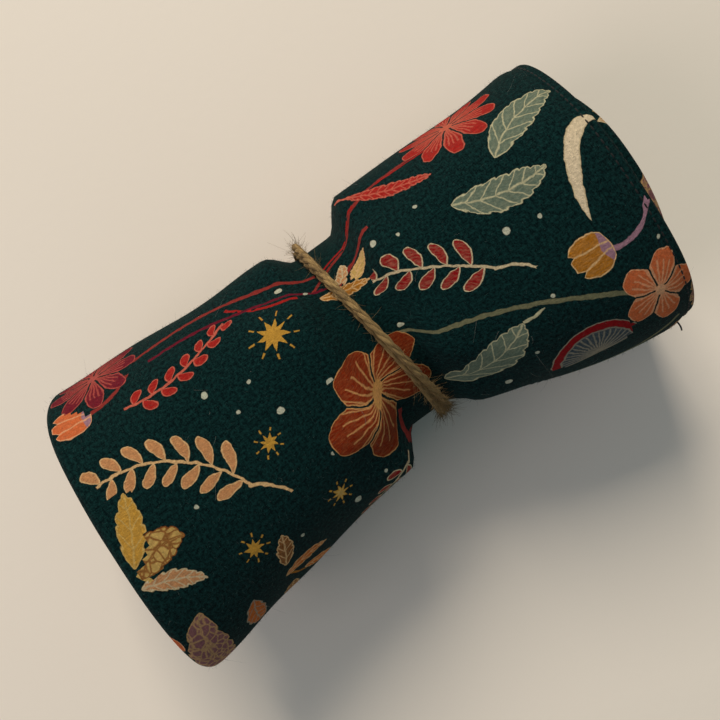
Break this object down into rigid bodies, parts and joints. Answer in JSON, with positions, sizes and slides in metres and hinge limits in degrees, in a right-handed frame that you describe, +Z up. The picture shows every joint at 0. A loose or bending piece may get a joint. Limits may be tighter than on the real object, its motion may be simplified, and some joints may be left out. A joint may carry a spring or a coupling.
{
  "type": "brush roll case",
  "caption": "Padded cloth brush roll with inner pockets, rolled up into an hourglass and tied round its waist with twine.",
  "frame": {"origin": "under the middle of the roll, on the surface that it rests on", "axes": "+X along the roll towards its topstitched end, +Y across it towards the side away from the loose edge, +Z up"},
  "size_m": [0.206, 0.1095, 0.0963],
  "materials": {
    "printed_flannel": "brushed cotton twill with a botanical print",
    "wadding": "loose cotton wadding",
    "lining_cotton": "plain cotton",
    "sewing_thread": "matt polyester thread",
    "jute_twine": "hairy twisted jute"
  },
  "bodies": {
    "roll": {"outer_panel": "printed_flannel", "padding": "wadding", "lining_panel": "lining_cotton", "pocket_panel": "printed_flannel", "pocket_hem": "printed_flannel", "pocket_seams": "sewing_thread", "end_topstitch": "sewing_thread", "thread_tail": "sewing_thread"},
    "tie": {"twine_turns": "jute_twine", "twine_knot": "jute_twine", "twine_ends": "jute_twine"}
  },
  "joints": [
    {"name": "tie_turn", "type": "hinge", "parent": "roll", "child": "tie", "pos_m": [0.006, 0.0068, 0.048], "axis": [1, 0, 0], "continuous": true}
  ]
}
